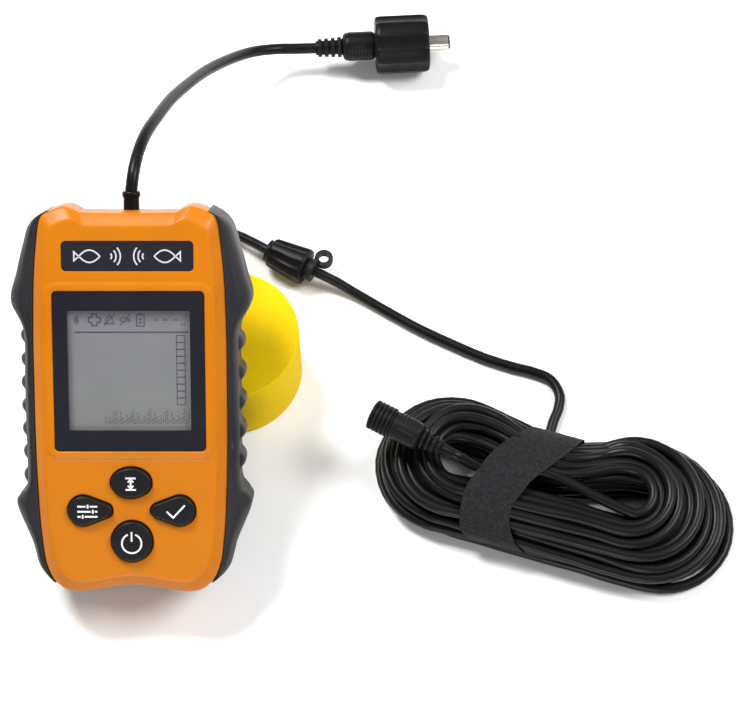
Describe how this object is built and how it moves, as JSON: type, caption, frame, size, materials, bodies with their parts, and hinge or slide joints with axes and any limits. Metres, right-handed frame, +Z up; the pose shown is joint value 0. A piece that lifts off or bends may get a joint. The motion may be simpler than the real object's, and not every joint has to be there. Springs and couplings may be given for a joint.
{
  "type": "portable fish finder",
  "caption": "Handheld sonar display leaning on a foam float with its transducer, with a plug pigtail and a strapped hank of transducer cable ending in a jack.",
  "frame": {"origin": "on the floor, under the middle of the box around the case and float, without the cables", "axes": "+Z up; +Y from the lower edge of the case, where its keys are, to its upper end; +X to the right of someone who reads the display"},
  "size_m": [0.2134, 0.2089, 0.0845],
  "materials": {
    "orange_shell": "satin",
    "black_shell": "satin",
    "grip_rubber": "satin",
    "seal_rubber": "matte",
    "steel": "satin",
    "window": "gloss",
    "plate": "satin",
    "lcd": "gloss",
    "white_plastic": "matte",
    "board": "satin",
    "black_parts": "satin",
    "brass": "satin",
    "cable": "satin",
    "silicone": "matte",
    "keys": "satin",
    "cells": "satin",
    "plug_plastic": "satin",
    "nickel": "gloss",
    "foam": "matte",
    "strap": "matte"
  },
  "bodies": {
    "case": {"front_shell": "orange_shell", "back_shell": "black_shell", "left_grip": "grip_rubber", "right_grip": "grip_rubber", "case_seal": "seal_rubber", "case_screws": "steel", "window_lens": "window", "window_tape": "black_parts", "name_plate": "plate", "lcd_glass": "lcd", "lcd_frame": "white_plastic", "backlight": "white_plastic", "contact_strips": "seal_rubber", "main_board": "board", "board_screws": "steel", "main_chip": "black_parts", "pulse_transformer": "brass", "capacitors": "black_parts", "buzzer": "black_parts", "wire_header": "white_plastic", "lead_wires": "cable", "key_domes": "steel", "keypad_mat": "silicone", "batteries": "cells", "contact_springs": "steel", "contact_plates": "steel", "gland": "cable", "pigtail": "cable", "plug_boot": "plug_plastic", "plug_body": "plug_plastic", "plug_core": "plug_plastic", "plug_ring_seal": "seal_rubber", "plug_barrel": "nickel", "plug_tip": "black_parts", "transducer_cup": "black_parts", "piezo_disc": "brass", "backing_pad": "silicone", "potting": "black_parts", "transducer_cable": "cable", "stop_core": "plug_plastic", "cable_hank": "cable", "hank_strap": "strap", "cable_tail": "cable", "jack_boot": "plug_plastic", "jack_body": "plug_plastic", "jack_nose": "plug_plastic", "jack_pin": "nickel"},
    "oval_key": {"oval_key": "keys"},
    "left_key": {"left_key": "keys"},
    "right_key": {"right_key": "keys"},
    "power_key": {"power_key": "keys"},
    "battery_cover": {"battery_cover": "black_shell"},
    "coupling_nut": {"coupling_nut": "plug_plastic"},
    "stop_nut": {"stop_nut": "plug_plastic"},
    "float": {"float": "foam"}
  },
  "joints": [
    {"name": "oval_key_press", "type": "slide", "parent": "case", "child": "oval_key", "axis": [0, 0.5736, -0.8191], "range_m": [0, 0.001], "stiffness_N_per_m": 1200, "springref_m": -0.0005},
    {"name": "left_key_press", "type": "slide", "parent": "case", "child": "left_key", "axis": [0, 0.5736, -0.8191], "range_m": [0, 0.001], "stiffness_N_per_m": 1200, "springref_m": -0.0005},
    {"name": "right_key_press", "type": "slide", "parent": "case", "child": "right_key", "axis": [0, 0.5736, -0.8191], "range_m": [0, 0.001], "stiffness_N_per_m": 1200, "springref_m": -0.0005},
    {"name": "power_key_press", "type": "slide", "parent": "case", "child": "power_key", "axis": [0, 0.5736, -0.8191], "range_m": [0, 0.001], "stiffness_N_per_m": 1200, "springref_m": -0.0005},
    {"name": "battery_cover_slide", "type": "slide", "parent": "case", "child": "battery_cover", "axis": [0, -0.8191, -0.5736], "range_m": [0, 0.007]},
    {"name": "coupling_nut_turn", "type": "hinge", "parent": "case", "child": "coupling_nut", "pos_m": [0.04445, 0.14431, 0.0097], "axis": [0.9984, 0.0558, 0], "continuous": true},
    {"name": "stop_nut_turn", "type": "hinge", "parent": "case", "child": "stop_nut", "pos_m": [0.03105, 0.06771, 0.0061], "axis": [0.891, -0.454, 0], "continuous": true},
    {"name": "float_turn", "type": "hinge", "parent": "case", "child": "float", "pos_m": [0.01925, 0.02776, 0], "axis": [0, 0, 1], "continuous": true}
  ]
}
